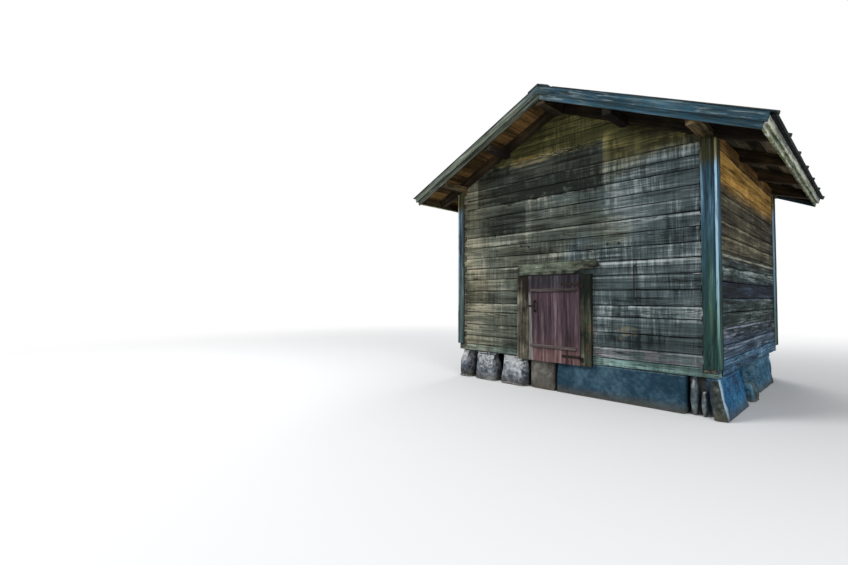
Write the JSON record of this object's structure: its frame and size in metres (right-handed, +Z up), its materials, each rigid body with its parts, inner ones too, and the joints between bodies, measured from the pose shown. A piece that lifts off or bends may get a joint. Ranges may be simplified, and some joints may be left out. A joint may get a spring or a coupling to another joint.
{
  "type": "log storehouse",
  "caption": "Small hewn-log storehouse on a dry stone foundation, with a low gabled felt roof, wide eaves and a low board door on strap hinges.",
  "frame": {"origin": "on the ground, under the middle of the roof", "axes": "+X to the right as seen from in front of the door, +Y from the door gable to the back gable, +Z up; the door faces -Y"},
  "size_m": [5.473, 5.524, 4.5888],
  "materials": {
    "weathered_logs": "weathered grey-brown",
    "grey_trim_boards": "weathered grey",
    "brown_roof_timber": "sheltered brown",
    "dark_roof_wood": "dark and weathered",
    "roofing_felt": "mineral felt",
    "faded_red_boards": "faded red paint",
    "black_iron": "rusted black",
    "granite": "rough stone"
  },
  "bodies": {
    "storehouse": {"back_gable": "weathered_logs", "back_wall": "weathered_logs", "barge_boards_back": "grey_trim_boards", "barge_boards_front": "grey_trim_boards", "corner_casing_back_left": "grey_trim_boards", "corner_casing_back_right": "grey_trim_boards", "corner_casing_front_left": "grey_trim_boards", "corner_casing_front_right": "grey_trim_boards", "door_jamb_left": "grey_trim_boards", "door_jamb_right": "grey_trim_boards", "door_lintel": "grey_trim_boards", "door_pintles": "black_iron", "fascia_left": "grey_trim_boards", "fascia_right": "grey_trim_boards", "felt_battens": "dark_roof_wood", "floor_boards": "weathered_logs", "floor_joists": "weathered_logs", "foundation_back_stones": "granite", "foundation_corner_block": "granite", "foundation_door_block": "granite", "foundation_front_block": "granite", "foundation_front_boulders": "granite", "foundation_left_stones": "granite", "foundation_packing_stones": "granite", "foundation_right_stones": "granite", "front_gable": "weathered_logs", "front_sill_log": "weathered_logs", "front_wall_left": "weathered_logs", "front_wall_right": "weathered_logs", "front_wall_upper": "weathered_logs", "left_wall": "weathered_logs", "rafters_left": "brown_roof_timber", "rafters_right": "brown_roof_timber", "ridge_boards": "dark_roof_wood", "ridge_purlin": "brown_roof_timber", "right_wall": "weathered_logs", "roof_deck_left": "brown_roof_timber", "roof_deck_right": "brown_roof_timber", "roof_felt_left": "roofing_felt", "roof_felt_right": "roofing_felt", "side_purlins": "brown_roof_timber", "threshold": "weathered_logs", "verge_rafters": "brown_roof_timber", "wall_plate_left": "brown_roof_timber", "wall_plate_right": "brown_roof_timber", "wall_rod": "black_iron"},
    "door": {"door_boards": "faded_red_boards", "door_ledge_upper": "faded_red_boards", "door_ledge_lower": "faded_red_boards", "strap_hinge_upper": "black_iron", "strap_hinge_lower": "black_iron", "door_handle": "black_iron"}
  },
  "joints": [
    {"name": "door_hinge", "type": "hinge", "parent": "storehouse", "child": "door", "pos_m": [0.358, -2.234, 1.1], "axis": [0, 0, 1], "range_deg": [0, 120]}
  ]
}
